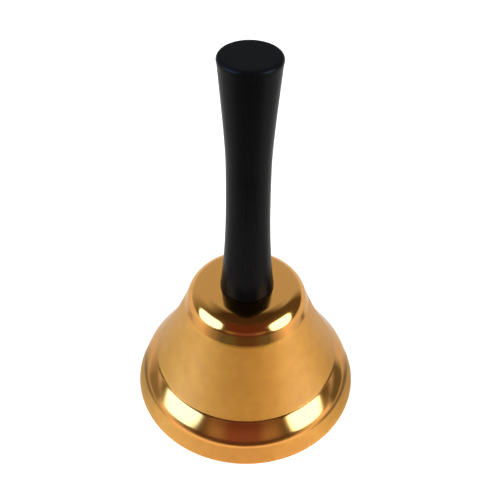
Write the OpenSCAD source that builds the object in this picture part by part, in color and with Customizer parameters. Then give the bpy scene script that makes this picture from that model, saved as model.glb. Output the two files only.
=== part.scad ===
// Hand bell: a spun brass shell on a turned wooden handle, with a clapper that swings inside.
// Millimetres. The origin is the centre of the mouth, in the plane that the bell stands on, and +Z is up.

/* [Shell] */
// Outside diameter of the mouth
mouth_d = 80; // [77:0.5:90]
// Height of the shell, from the mouth to the flat crown
shell_h = 48; // [46:0.5:56]
// Thickness of the metal above the lip
wall_t = 1.6; // [1:0.1:2]
// Thickness of the metal at the mouth
mouth_t = 2.6; // [2.2:0.1:3.2]
// Height of the lip, from the mouth to the lower crease
lip_h = 7.8; // [6:0.1:9]
// Outside diameter at the lower crease
lip_top_d = 74.6; // [71:0.1:75.6]
// Height of the sloping band between the two creases
band_h = 6.5; // [5:0.1:8]
// Outside diameter at the upper crease
band_top_d = 65.4; // [62:0.1:69]
// How far the band swells out of a straight slope
band_bulge = 0.1; // [0.05:0.05:0.5]
// Diameter of the flat top of the crown
crown_flat_d = 26; // [24:0.5:29]
// Radius of the rounded shoulder between crown and waist
shoulder_r = 7.7; // [6:0.1:9]
// Slope of the waist just under the shoulder, in degrees from upright
neck_angle = 17.4; // [12:0.2:21]
// Radius on the outer edge of the mouth
rim_edge_r = 0.8; // [0.3:0.1:1]
// Radius on the inner edge of the mouth
mouth_edge_r = 0.4; // [0.2:0.1:0.8]

/* [Handle] */
// Length of the wooden handle
handle_l = 85; // [70:1:110]
// Diameter of the foot, which stands on the crown
handle_foot_d = 18; // [16:0.2:21]
// Diameter at the waist
handle_waist_d = 13.6; // [12.4:0.1:15.6]
// Diameter of the flat top
handle_top_d = 18.2; // [16:0.1:24]
// Height of the waist above the foot
handle_waist_h = 48; // [36:1:54]
// How sharply the foot flares out
foot_flare = 2.6; // [2:0.1:3]
// How much of the upper part bends before the taper runs straight
taper_bend = 0.3; // [0.1:0.05:1]
// Radius on the edge of the handle's top
handle_top_edge_r = 1.2; // [0.5:0.1:2]
// Radius on the edge of the handle's foot
handle_foot_edge_r = 0.5; // [0.2:0.1:1]

/* [Screw and insert] */
// Diameter of the hanger screw
screw_d = 5; // [4:0.5:6]
// Length of the screw under its head
screw_l = 25; // [20:1:30]
// Width across the flats of the screw's head
screw_head_af = 8; // [7:0.5:8.5]
// Height of the screw's head
screw_head_h = 3.5; // [2.8:0.1:4]
// Chamfer on the lower corners of the screw's head and the clapper's nut
hex_chamfer = 0.4; // [0.2:0.1:0.6]
// How much wider than the screw its holes in crown, washers and hanger are
screw_hole_gap = 0.5; // [0.2:0.1:0.8]
// Outside diameter of the threaded insert in the handle
insert_d = 8.5; // [7.5:0.1:9.5]
// Length of the threaded insert
insert_l = 14; // [10:1:16]
// Depth that the handle is drilled beyond the screw's tip
drill_spare = 3; // [1:0.5:6]

/* [Hanger] */
// Diameter of the washer under the crown
crown_washer_d = 18; // [15:0.5:21]
// Thickness of the washer under the crown
crown_washer_t = 1.2; // [0.8:0.1:1.6]
// Thickness of the hanger's steel strap
strap_t = 1.2; // [1:0.1:1.6]
// Width of the hanger's strap
strap_w = 9; // [8:0.5:11]
// Clear width between the hanger's legs
leg_gap = 10.4; // [10.2:0.1:12]
// Inside radius of the hanger's two bends
bend_r = 0.7; // [0.4:0.1:0.7]
// Outside diameter of the spring washer
spring_washer_d = 8.9; // [8:0.1:9]
// Thickness of the spring washer
spring_washer_t = 1.2; // [0.8:0.1:1.4]
// Width of the slit in the spring washer
spring_washer_slit = 0.8; // [0.4:0.1:1.2]
// Room between the screw's head and the clapper's eye
head_room = 0.7; // [0.4:0.1:1.5]
// Diameter of the pin that the clapper swings on
pin_d = 3; // [2.4:0.1:3.4]
// Diameter of the pin's riveted heads
pin_head_d = 5.2; // [4.6:0.1:6]
// Height of the pin's riveted heads
pin_head_h = 1.1; // [0.8:0.1:1.5]

/* [Clapper] */
// Outside diameter of the bush in the clapper's eye
bush_d = 5; // [4.6:0.1:5.6]
// Running clearance between bush and pin, on the radius
bush_gap = 0.05; // [0.03:0.01:0.1]
// Play between each end of the bush and the hanger's leg
side_play = 0.2; // [0.1:0.05:0.4]
// Outside diameter of the clapper's eye
eye_d = 8; // [7.2:0.1:9]
// Width of the clapper's eye
eye_w = 6; // [4:0.5:8]
// Diameter of the clapper's rod
rod_d = 4.8; // [4.4:0.1:5.4]
// Diameter of the rod's threaded end, which holds the ball
rod_thread_d = 4; // [3:0.1:4]
// Diameter of the clapper's ball
ball_d = 19; // [16:0.5:20]
// Height of the ball above the plane of the mouth
ball_lift = 2; // [1:0.5:5]
// Depth of the rod's shoulder in the top of the ball
shoulder_sink = 0.3; // [0.1:0.1:0.6]
// Width across the flats of the clapper's nut
nut_af = 7; // [6:0.1:7.4]
// Height of the clapper's nut
nut_h = 3.2; // [2.4:0.1:4]
// Depth of the nut below the lowest point of the ball
nut_sink = 0.6; // [0.5:0.1:1]
// Room round the nut's corners in its recess
recess_gap = 0.3; // [0.2:0.05:0.6]

/* [Hidden] */
$fn = 96;

// Counts of straight steps in the curved outlines
arc_steps = 12;
waist_steps = 20;
handle_steps = 28;
edge_steps = 5;

// Heights, stacked down from the flat crown
band_top_z = lip_h + band_h;
crown_in_z = shell_h - wall_t;
washer_z = crown_in_z - crown_washer_t;
web_z = washer_z - strap_t;
head_top_z = web_z - spring_washer_t;
head_z = head_top_z - screw_head_h;
pin_z = head_z - head_room - eye_d / 2;

// Sizes that follow from the pieces that meet
screw_hole_d = screw_d + screw_hole_gap;
screw_tip_z = head_top_z + screw_l;
hanger_w = leg_gap + 2 * strap_t;
bush_l = leg_gap - 2 * side_play;
bush_bore_d = pin_d + 2 * bush_gap;
ball_z = ball_lift + ball_d / 2;
rod_shoulder_z = ball_z + sqrt(pow(ball_d / 2, 2) - pow(rod_d / 2, 2)) - shoulder_sink;
nut_z = ball_lift + nut_sink;
recess_d = nut_af / cos(30) + 2 * recess_gap;
thread_tip = nut_sink / 2;
overshoot = 1;

// Points of an arc from p to q that swells by sag to the left of the way from p to q
function arc_points(p, q, sag, steps) =
    let (half = norm(q - p) / 2,
        along = (q - p) / norm(q - p),
        across = [-along[1], along[0]],
        r = (half * half + sag * sag) / (2 * sag),
        open = asin(half / r))
    [for (i = [0:steps])
        let (a = open * (2 * i / steps - 1))
        (p + q) / 2 + across * (sag - r + r * cos(a)) + along * r * sin(a)];

// Points of a round edge of radius r about centre c, from angle a to angle b
function edge_points(c, r, a, b, steps) =
    [for (i = [0:steps])
        let (t = a + (b - a) * i / steps)
        c + r * [cos(t), sin(t)]];

// A point of an outline, moved square to it by depth
function inset_point(outline, i, depth) =
    let (before = outline[max(i - 1, 0)],
        after = outline[min(i + 1, len(outline) - 1)],
        way = (after - before) / norm(after - before))
    outline[i] + depth * [way[1], -way[0]];

// The shell's outside from the crown to the lip: shoulder, waist and band
shoulder_outline = edge_points([crown_flat_d / 2, shell_h - shoulder_r], shoulder_r,
    90, neck_angle, arc_steps);
neck_point = shoulder_outline[arc_steps];
upper_crease = [band_top_d / 2, band_top_z];
lower_crease = [lip_top_d / 2, lip_h];
waist_chord = upper_crease - neck_point;
waist_turn = atan2(waist_chord[0], -waist_chord[1]) - neck_angle;
waist_sag = norm(waist_chord) / 2 * tan(waist_turn / 2);
waist_outline = arc_points(neck_point, upper_crease, -waist_sag, waist_steps);
band_outline = arc_points(upper_crease, lower_crease, band_bulge, arc_steps);
upper_outline = concat(
    shoulder_outline,
    [for (i = [1:waist_steps]) waist_outline[i]],
    [for (i = [1:arc_steps]) band_outline[i]]);
inner_outline = [for (i = [0:len(upper_outline) - 1]) inset_point(upper_outline, i, wall_t)];
mouth_outline = concat(
    edge_points([mouth_d / 2 - rim_edge_r, rim_edge_r], rim_edge_r, 0, -90, edge_steps),
    edge_points([mouth_d / 2 - mouth_t + mouth_edge_r, mouth_edge_r], mouth_edge_r, -90, -180, edge_steps));

// Radius of the handle at height h above its foot
function handle_r(h) =
    h < handle_waist_h
    ? (handle_waist_d + (handle_foot_d - handle_waist_d) * pow(1 - h / handle_waist_h, foot_flare)) / 2
    : (handle_waist_d + (handle_top_d - handle_waist_d)
        * bent_taper((h - handle_waist_h) / (handle_l - handle_waist_h))) / 2;

// A rise from 0 to 1 that bends at first and then runs straight
function bent_taper(u) =
    (sqrt(u * u + pow(taper_bend, 2)) - taper_bend)
    / (sqrt(1 + pow(taper_bend, 2)) - taper_bend);

handle_side_l = handle_l - handle_foot_edge_r - handle_top_edge_r;
handle_outline = concat(
    [[0, 0]],
    edge_points([handle_foot_d / 2 - handle_foot_edge_r, handle_foot_edge_r], handle_foot_edge_r,
        -90, 0, edge_steps),
    [for (i = [1:handle_steps - 1])
        let (h = handle_foot_edge_r + handle_side_l * i / handle_steps)
        [handle_r(h), h]],
    edge_points([handle_top_d / 2 - handle_top_edge_r, handle_l - handle_top_edge_r], handle_top_edge_r,
        0, 90, edge_steps),
    [[0, handle_l]]);

// A hexagon of height h standing on z = 0, with its lower corners chamfered
module hexagon(across_flats, h) {
    corner_r = across_flats / 2 / cos(30);
    intersection() {
        cylinder(r = corner_r, h = h, $fn = 6);
        rotate_extrude()
            polygon([[0, 0], [across_flats / 2, 0], [corner_r, hex_chamfer], [corner_r, h], [0, h]]);
    }
}

// A flat ring standing on z = 0
module ring(outer_d, inner_d, h) {
    difference() {
        cylinder(d = outer_d, h = h);
        translate([0, 0, -overshoot])
            cylinder(d = inner_d, h = h + 2 * overshoot);
    }
}

// A cylinder of length l about the pin's axis, centred between the hanger's legs
module on_pin(d, l) {
    translate([0, 0, pin_z])
        rotate([90, 0, 0])
            cylinder(d = d, h = l, center = true);
}

// The spun and turned brass shell, with the screw's hole in its crown
module bell_shell() {
    color("goldenrod")
        difference() {
            rotate_extrude()
                polygon(concat(
                    [[0, shell_h]],
                    upper_outline,
                    mouth_outline,
                    [for (i = [len(inner_outline) - 1:-1:0]) inner_outline[i]],
                    [[0, crown_in_z]]));
            translate([0, 0, crown_in_z - overshoot])
                cylinder(d = screw_hole_d, h = wall_t + 2 * overshoot);
        }
}

// The turned wooden handle, drilled from its foot for the insert and the screw
module handle() {
    color("#1b1b1d")
        difference() {
            translate([0, 0, shell_h])
                rotate_extrude()
                    polygon(handle_outline);
            translate([0, 0, shell_h - overshoot])
                cylinder(d = insert_d, h = insert_l + overshoot);
            translate([0, 0, shell_h])
                cylinder(d = screw_hole_d, h = screw_tip_z - shell_h + drill_spare);
        }
}

// The brass insert, flush with the handle's foot
module threaded_insert() {
    color("darkgoldenrod")
        translate([0, 0, shell_h])
            ring(insert_d, screw_d, insert_l);
}

// The screw that pulls handle, shell and hanger together
module hanger_screw() {
    color("silver") {
        translate([0, 0, head_z])
            hexagon(screw_head_af, screw_head_h);
        translate([0, 0, head_top_z])
            cylinder(d = screw_d, h = screw_l);
    }
}

// The split washer under the screw's head
module spring_washer() {
    color("gray")
        translate([0, 0, head_top_z])
            difference() {
                ring(spring_washer_d, screw_hole_d, spring_washer_t);
                translate([0, -spring_washer_slit / 2, -overshoot])
                    cube([spring_washer_d, spring_washer_slit, spring_washer_t + 2 * overshoot]);
            }
}

// An upside-down U of width w and corner radius r, its top at z = top, cut off at the pin's height
module strap_outline(w, r, top) {
    translate([-w / 2, pin_z])
        square([w, top - pin_z - r]);
    translate([-w / 2 + r, pin_z])
        square([w - 2 * r, top - pin_z]);
    for (side = [-1, 1])
        translate([side * (w / 2 - r), top - r])
            circle(r = r);
}

// The bent strap under the crown, with round leg ends and a hole in each leg for the pin
module clapper_hanger() {
    color("lightgray")
        difference() {
            union() {
                translate([-strap_w / 2, 0, 0])
                    rotate([90, 0, 90])
                        linear_extrude(strap_w)
                            difference() {
                                strap_outline(hanger_w, bend_r + strap_t, washer_z);
                                strap_outline(leg_gap, bend_r, web_z);
                            }
                for (side = [-1, 1])
                    translate([0, side * (leg_gap + strap_t) / 2, pin_z])
                        rotate([90, 0, 0])
                            cylinder(d = strap_w, h = strap_t, center = true);
            }
            translate([0, 0, web_z - overshoot])
                cylinder(d = screw_hole_d, h = strap_t + 2 * overshoot);
            on_pin(pin_d, hanger_w + 2 * overshoot);
        }
}

// The wide washer between the hanger and the thin crown
module crown_washer() {
    color("silver")
        translate([0, 0, washer_z])
            ring(crown_washer_d, screw_hole_d, crown_washer_t);
}

// The riveted pin, with a low domed head outside each leg
module hanger_pin() {
    dome_r = (pow(pin_head_d / 2, 2) + pow(pin_head_h, 2)) / (2 * pin_head_h);
    color("silver") {
        on_pin(pin_d, hanger_w);
        for (side = [-1, 1])
            intersection() {
                translate([0, side * (hanger_w / 2 + pin_head_h - dome_r), pin_z])
                    sphere(r = dome_r);
                translate([0, side * (hanger_w + pin_head_h) / 2, pin_z])
                    rotate([90, 0, 0])
                        cylinder(d = pin_head_d + overshoot, h = pin_head_h, center = true);
            }
    }
}

// The brass bush that turns on the pin and keeps the clapper between the legs
module pivot_bush() {
    color("darkgoldenrod")
        difference() {
            on_pin(bush_d, bush_l);
            on_pin(bush_bore_d, bush_l + 2 * overshoot);
        }
}

// The clapper's rod: an eye round the bush, a plain shank, and a thinner threaded end through the ball
module clapper_rod() {
    color("silver")
        difference() {
            union() {
                on_pin(eye_d, eye_w);
                translate([0, 0, rod_shoulder_z])
                    cylinder(d = rod_d, h = pin_z - rod_shoulder_z);
                translate([0, 0, nut_z - thread_tip])
                    cylinder(d = rod_thread_d, h = rod_shoulder_z - nut_z + thread_tip);
            }
            on_pin(bush_d, eye_w + 2 * overshoot);
        }
}

// The ball that strikes the shell, drilled for the rod and recessed for the nut
module clapper_ball() {
    color("goldenrod")
        difference() {
            translate([0, 0, ball_z])
                sphere(d = ball_d);
            translate([0, 0, rod_shoulder_z])
                cylinder(d = rod_d, h = ball_d);
            translate([0, 0, ball_lift - overshoot])
                cylinder(d = rod_thread_d, h = ball_d + 2 * overshoot);
            translate([0, 0, ball_lift - overshoot])
                cylinder(d = recess_d, h = nut_sink + nut_h + overshoot);
        }
}

// The nut in the underside of the ball
module clapper_nut() {
    color("silver")
        translate([0, 0, nut_z])
            difference() {
                hexagon(nut_af, nut_h);
                translate([0, 0, -overshoot])
                    cylinder(d = rod_thread_d, h = nut_h + 2 * overshoot);
            }
}

bell_shell();
handle();
threaded_insert();
hanger_screw();
spring_washer();
clapper_hanger();
crown_washer();
hanger_pin();
pivot_bush();
clapper_rod();
clapper_ball();
clapper_nut();
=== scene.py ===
import math

import bpy
from mathutils import Matrix, Vector


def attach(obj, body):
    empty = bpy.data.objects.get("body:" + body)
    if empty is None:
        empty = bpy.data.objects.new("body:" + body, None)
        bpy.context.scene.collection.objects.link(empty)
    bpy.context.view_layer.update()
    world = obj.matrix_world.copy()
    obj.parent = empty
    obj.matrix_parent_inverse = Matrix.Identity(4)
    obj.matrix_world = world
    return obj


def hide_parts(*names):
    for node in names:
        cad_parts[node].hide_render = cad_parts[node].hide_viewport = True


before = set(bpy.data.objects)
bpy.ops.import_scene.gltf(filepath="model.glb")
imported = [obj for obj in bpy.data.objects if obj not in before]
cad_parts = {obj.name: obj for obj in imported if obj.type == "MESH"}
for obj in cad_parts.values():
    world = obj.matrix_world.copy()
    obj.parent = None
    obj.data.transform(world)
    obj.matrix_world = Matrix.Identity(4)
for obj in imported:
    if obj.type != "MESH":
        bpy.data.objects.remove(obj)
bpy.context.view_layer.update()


# The bell itself: one spun and turned shell of brass, 1.6 mm thick and thicker at the mouth. Crown, shoulder
# and sloping band are buffed bright, waist and lip keep the satin of fine emery, and the inside is as it came
# from the lathe. A thin clear lacquer covers the outside. It is clamped between the handle and the hanger.
MM = 0.001
SEAM_GAP = 0.002
MOUTH_R, SHELL_H, WALL, MOUTH_WALL = 40.0, 48.0, 1.6, 2.6
MOUTH_EDGE, INNER_EDGE = 0.8, 0.4
UPPER_CREASE, LOWER_CREASE = Vector((32.6, 14.2)), Vector((37.4, 7.9))
UPPER_EASE, LOWER_EASE = 0.25, 1.2
CROWN_FLAT_R, SHOULDER_R, NECK_ANGLE = 13.0, 7.7, math.radians(17.4)
BAND_BULGE, SCREW_HOLE_R = 0.08, 2.75


def arc(start, end, sag, steps):
    """Points of an arc that swells by sag to the left of the way from start to end."""
    half = (end - start).length / 2
    along = (end - start).normalized()
    across = Vector((-along.y, along.x))
    radius = (half * half + sag * sag) / (2 * sag)
    opening = math.asin(half / radius)
    turns = [opening * (2 * i / steps - 1) for i in range(steps + 1)]
    return [(start + end) / 2 + across * (sag - radius + radius * math.cos(t)) + along * radius * math.sin(t)
            for t in turns]


def round_edge(centre, radius, first, last, steps):
    """Points of a rounded edge, between two angles in degrees."""
    angles = [math.radians(first + (last - first) * i / steps) for i in range(steps + 1)]
    return [Vector(centre) + radius * Vector((math.cos(a), math.sin(a))) for a in angles]


def bend(first, corner, last, t):
    """The point at share t of the curve that rounds a corner off between two points."""
    return first * (1 - t) ** 2 + corner * 2 * t * (1 - t) + last * t * t


def ease_crease(outline, crease, reach):
    """The outline with the points within reach of a crease drawn in to a small even curve."""
    near = [i for i, p in enumerate(outline) if (p - crease).length < reach]
    first, last = outline[near[0] - 1], outline[near[-1] + 1]
    eased = [bend(first, crease, last, t) for t in (0.2, 0.35, 0.5, 0.65, 0.8)]
    return outline[:near[0]] + eased + outline[near[-1] + 1:]


def trace(name, places):
    """A chain of edges drawn through these places in mm."""
    bpy.ops.object.select_all(action="DESELECT")
    bpy.ops.mesh.primitive_plane_add(size=1 * MM, location=(0, 0, 0))
    piece = bpy.context.object
    piece.name = name
    bpy.ops.object.mode_set(mode="EDIT")
    bpy.ops.mesh.select_all(action="SELECT")
    bpy.ops.mesh.merge(type="CENTER")
    bpy.ops.transform.translate(value=places[0] * MM)
    for last, place in zip(places, places[1:]):
        bpy.ops.mesh.extrude_region_move(TRANSFORM_OT_translate={"value": (place - last) * MM})
    bpy.ops.mesh.select_all(action="SELECT")
    return piece


def close_skin(smooth_angle):
    """Joins the seams of the mesh in hand, turns its faces outwards and smooths all but its real edges."""
    bpy.ops.mesh.select_all(action="SELECT")
    bpy.ops.mesh.remove_doubles(threshold=SEAM_GAP * MM)
    bpy.ops.mesh.normals_make_consistent(inside=False)
    bpy.ops.object.mode_set(mode="OBJECT")
    bpy.ops.object.shade_smooth_by_angle(angle=math.radians(smooth_angle))


def turn_piece(name, outline, closed=False, steps=256, about="Z", height=0.0):
    """Spins an outline of (radius, height) points in mm about the bell's axis, or about the hanger's pin."""
    places = [Vector((p[0], 0, p[1])) if about == "Z" else Vector((p[0], p[1], height)) for p in outline]
    piece = trace(name, places + places[:1] if closed else places)
    axis = (0, 0, 1) if about == "Z" else (0, 1, 0)
    bpy.ops.mesh.spin(steps=steps, angle=math.tau, center=(0, 0, height * MM), axis=axis)
    close_skin(40)
    return piece


shoulder = round_edge((CROWN_FLAT_R, SHELL_H - SHOULDER_R), SHOULDER_R, 90, math.degrees(NECK_ANGLE), 36)
neck = shoulder[-1]
chord = UPPER_CREASE - neck
waist_turn = math.atan2(chord.x, -chord.y) - NECK_ANGLE
waist = arc(neck, UPPER_CREASE, -chord.length / 2 * math.tan(waist_turn / 2), 48)
band = arc(UPPER_CREASE, LOWER_CREASE, BAND_BULGE, 20)
skin = shoulder + waist[1:] + band[1:]
ways = [(skin[min(i + 1, len(skin) - 1)] - skin[max(i - 1, 0)]).normalized() for i in range(len(skin))]
inner_skin = [p + WALL * Vector((w.y, -w.x)) for p, w in zip(skin, ways)]
crown_top = [Vector((SCREW_HOLE_R + (CROWN_FLAT_R - SCREW_HOLE_R) * i / 6, SHELL_H)) for i in range(6)]
crown_under = [Vector((p.x, SHELL_H - WALL)) for p in crown_top]
lip_foot = Vector((MOUTH_R, MOUTH_EDGE))
lip = [LOWER_CREASE.lerp(lip_foot, i / 14) for i in range(1, 14)]
inner_lip_foot = Vector((MOUTH_R - MOUTH_WALL, INNER_EDGE))
inner_lip = [inner_lip_foot.lerp(inner_skin[-1], i / 12) for i in range(1, 12)]
outside = ease_crease(crown_top + skin + lip, UPPER_CREASE, UPPER_EASE)
outside = ease_crease(outside, LOWER_CREASE, LOWER_EASE)
mouth = (round_edge((MOUTH_R - MOUTH_EDGE, MOUTH_EDGE), MOUTH_EDGE, 0, -90, 8)
         + round_edge((MOUTH_R - MOUTH_WALL + INNER_EDGE, INNER_EDGE), INNER_EDGE, -90, -180, 6))
inside = inner_lip + inner_skin[::-1] + crown_under[::-1]
bell_shell = turn_piece("bell_shell_brass", outside + mouth + inside, closed=True)

# Turned brass under clear lacquer: warm gold, bright as a mirror where it was buffed, and elsewhere drawn
# out up and down by the fine rings of the emery. A thin dark line of painted shade runs along each crease.
BRASS, SATIN_BRASS, SATIN_WARM, CREASE_SHADE_COLOUR = "E09C42", "EBA83A", "DD972F", "5A3418"
SATIN, BRIGHT = 0.7, 0.13
BUFFED_BELOW, BUFFED_ABOVE, BUFF_FADE = 1.0, 0.35, 0.4
WAIST_SATIN_TOP, SHOULDER_BUFFED = 38.9, 40.7
# Painted shade along the creases: how dark it is at each crease, and how far the line reaches.
LOWER_CREASE_SHADE, UPPER_CREASE_SHADE, CREASE_SHADE_CORE, CREASE_SHADE_REACH = 0.18, 0.35, 0.1, 0.45
RING_PITCH, CLOUD_SIZE = 0.45, 4.0


def colour(code):
    """A linear colour from an sRGB hex code."""
    parts = [int(code[i:i + 2], 16) / 255 for i in (0, 2, 4)]
    return [c / 12.92 if c <= 0.04045 else ((c + 0.055) / 1.055) ** 2.4 for c in parts] + [1.0]


def grey(level):
    """A level as a grey for a colour ramp."""
    return (level, level, level, 1)


def add(tree, kind, inputs=None, **settings):
    """Adds a node with its settings, its values and the links that come into it."""
    made = tree.nodes.new("ShaderNode" + kind)
    for key, value in settings.items():
        setattr(made, key, value)
    for socket, value in (inputs or {}).items():
        if isinstance(value, bpy.types.NodeSocket):
            tree.links.new(value, made.inputs[socket])
        else:
            made.inputs[socket].default_value = value
    return made


def new_finish(name, values):
    """A material of that name with these values on its shader, as (material, node tree, shader)."""
    finish = bpy.data.materials.new(name)
    finish.use_nodes = True
    shader = finish.node_tree.nodes["Principled BSDF"]
    for socket, value in values.items():
        shader.inputs[socket].default_value = value
    return finish, finish.node_tree, shader


def set_stops(ramp, first, stops, last):
    """Gives a colour ramp its two end colours and the stops between them."""
    ramp.elements[0].color, ramp.elements[1].color = first, last
    for spot, shade in stops:
        ramp.elements.new(spot).color = shade


turned_brass, tree, shader = new_finish("turned_brass_lacquered", {
    "Metallic": 1.0, "Anisotropic": 0.2, "Anisotropic Rotation": 0.25,
    "Specular Tint": colour("F5DDB0"), "Coat Weight": 0.8, "Coat IOR": 1.5})
place = add(tree, "TexCoord").outputs["Object"]
height = add(tree, "SeparateXYZ", {0: place}).outputs["Z"]
flat = add(tree, "VectorMath", {0: place, 1: (1, 1, 0)}, operation="MULTIPLY").outputs[0]
away = add(tree, "VectorMath", {0: flat}, operation="LENGTH").outputs["Value"]
cloud = add(tree, "TexNoise", {"Vector": place, "Scale": 1 / (CLOUD_SIZE * MM), "Detail": 3.0}).outputs["Fac"]
up_shell = add(tree, "MapRange", {"Value": height, "From Min": 0.0, "From Max": SHELL_H * MM}).outputs[0]
polish = add(tree, "ValToRGB", {0: up_shell})
set_stops(polish.color_ramp, grey(SATIN), [(z / SHELL_H, grey(rough)) for z, rough in (
    (LOWER_CREASE.y - BUFFED_BELOW - BUFF_FADE, SATIN), (LOWER_CREASE.y - BUFFED_BELOW, BRIGHT),
    (UPPER_CREASE.y + BUFFED_ABOVE, BRIGHT), (UPPER_CREASE.y + BUFFED_ABOVE + BUFF_FADE, SATIN),
    (WAIST_SATIN_TOP, SATIN), (SHOULDER_BUFFED, BRIGHT))], grey(BRIGHT))
satin_share = add(tree, "MapRange", {
    "Value": polish.outputs[0], "From Min": BRIGHT, "From Max": SATIN}).outputs[0]
satin = add(tree, "Mix", {
    0: cloud, 6: colour(SATIN_BRASS), 7: colour(SATIN_WARM)}, data_type="RGBA").outputs[2]
base = add(tree, "Mix", {0: satin_share, 6: colour(BRASS), 7: satin}, data_type="RGBA").outputs[2]
# Painted shade: a thin dark line along each crease, mixed into the brass colour below.
crease_shade = add(tree, "ValToRGB", {0: up_shell})
set_stops(crease_shade.color_ramp, grey(0), [
    ((crease.y + off) / SHELL_H, grey(share))
    for crease, dark in ((LOWER_CREASE, LOWER_CREASE_SHADE), (UPPER_CREASE, UPPER_CREASE_SHADE))
    for off, share in ((-CREASE_SHADE_REACH, 0), (-CREASE_SHADE_CORE, dark), (CREASE_SHADE_CORE, dark), (CREASE_SHADE_REACH, 0))],
    grey(0))
tree.links.new(add(tree, "Mix", {0: crease_shade.outputs[0], 6: base, 7: colour(CREASE_SHADE_COLOUR)},
                   data_type="RGBA").outputs[2], shader.inputs["Base Color"])
uneven = add(tree, "MapRange", {"Value": cloud, "To Min": 0.9, "To Max": 1.1}).outputs[0]
roughness = add(tree, "Math", {0: polish.outputs[0], 1: uneven}, operation="MULTIPLY").outputs[0]
tree.links.new(roughness, shader.inputs["Roughness"])
tree.links.new(add(tree, "MapRange", {"Value": satin_share, "To Min": 0.08, "To Max": 0.4}).outputs[0],
               shader.inputs["Coat Roughness"])
rings = add(tree, "TexNoise", {"W": add(tree, "Math", {0: away, 1: height}, operation="SUBTRACT").outputs[0],
                               "Scale": 1 / (RING_PITCH * MM), "Detail": 2.0},
            noise_dimensions="1D").outputs["Fac"]
ring_depth = add(tree, "MapRange", {"Value": satin_share, "To Min": 0.02, "To Max": 0.12}).outputs[0]
bump = add(tree, "Bump", {"Height": rings, "Strength": ring_depth, "Distance": 0.01 * MM})
tree.links.new(bump.outputs[0], shader.inputs["Normal"])
tree.links.new(add(tree, "Tangent", direction_type="RADIAL", axis="Z").outputs[0], shader.inputs["Tangent"])
bell_shell.data.materials.append(turned_brass)

# The inside, unlacquered: duller and browner brass with broad stains. The waves that the spinning tool left
# are drawn several times as wide as they really are, so that they show.
TOOL_WAVE, STAIN_SIZE = 5.654867, 16.666667
BARE_FROM_Z, UNDER_CROWN_FROM_Z = 0.6, 40.0
spun_brass, tree, shader = new_finish("spun_brass_bare", {
    "Metallic": 1.0, "Anisotropic": 0.4, "Anisotropic Rotation": 0.25})
place = add(tree, "TexCoord").outputs["Object"]
stain = add(tree, "TexNoise", {"Vector": place, "Scale": 1 / (STAIN_SIZE * MM), "Detail": 5.0}).outputs["Fac"]
tree.links.new(add(tree, "Mix", {0: stain, 6: colour("D9A055"), 7: colour("A06D35")},
                   data_type="RGBA").outputs[2], shader.inputs["Base Color"])
tree.links.new(add(tree, "MapRange", {"Value": stain, "To Min": 0.3, "To Max": 0.5}).outputs[0],
               shader.inputs["Roughness"])
waves = add(tree, "TexWave", {"Vector": place, "Scale": math.tau / 20 / (TOOL_WAVE * MM), "Distortion": 0.6},
            bands_direction="Z", wave_profile="SIN").outputs["Fac"]
bump = add(tree, "Bump", {"Height": waves, "Strength": 0.4, "Distance": 0.05 * MM})
tree.links.new(bump.outputs[0], shader.inputs["Normal"])
tree.links.new(add(tree, "Tangent", direction_type="RADIAL", axis="Z").outputs[0], shader.inputs["Tangent"])
bell_shell.data.materials.append(spun_brass)
for face in bell_shell.data.polygons:
    inwards = Vector((face.center.x, face.center.y, 0)).dot(face.normal) < 0
    under_crown = face.normal.z < -0.5 and face.center.z > UNDER_CROWN_FROM_Z * MM
    face.material_index = int(face.center.z > BARE_FROM_Z * MM and (inwards or under_crown))
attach(bell_shell, "bell")
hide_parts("bell_shell")


# The handle: beech or a like hardwood turned on a lathe, stained black and lacquered, with a flat top and an
# eased edge. It stands on the crown, and a screw from inside the bell pulls it down.
HANDLE_L, FOOT_R, WAIST_R, TOP_R = 85.0, 9.0, 6.8, 9.1
WAIST_H, FOOT_FLARE, TAPER_BEND = 48.0, 2.6, 0.3
TOP_EDGE, FOOT_EDGE, SIDE_STEPS = 1.2, 0.5, 70
INSERT_R, INSERT_L, DRILL_L = 4.25, 14.0, 22.8


def handle_r(h):
    """Radius of the handle at height h above its foot."""
    if h < WAIST_H:
        return WAIST_R + (FOOT_R - WAIST_R) * (1 - h / WAIST_H) ** FOOT_FLARE
    u = (h - WAIST_H) / (HANDLE_L - WAIST_H)
    bent = (math.hypot(u, TAPER_BEND) - TAPER_BEND) / (math.hypot(1, TAPER_BEND) - TAPER_BEND)
    return WAIST_R + (TOP_R - WAIST_R) * bent


side_l = HANDLE_L - FOOT_EDGE - TOP_EDGE
heights = [FOOT_EDGE + side_l * i / SIDE_STEPS for i in range(1, SIDE_STEPS)]
bore = [Vector(p) for p in ((0, DRILL_L), (SCREW_HOLE_R, DRILL_L), (SCREW_HOLE_R, INSERT_L),
                            (INSERT_R, INSERT_L), (INSERT_R, 0))]
turned = (
    round_edge((FOOT_R - FOOT_EDGE, FOOT_EDGE), FOOT_EDGE, -90, 0, 8)
    + [Vector((handle_r(h), h)) for h in heights]
    + round_edge((TOP_R - TOP_EDGE, HANDLE_L - TOP_EDGE), TOP_EDGE, 0, 90, 10)
    + [Vector((TOP_R * share, HANDLE_L)) for share in (0.7, 0.5, 0.3, 0.1, 0)])
handle = turn_piece("handle_black_wood", [p + Vector((0, SHELL_H)) for p in bore + turned])

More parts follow.
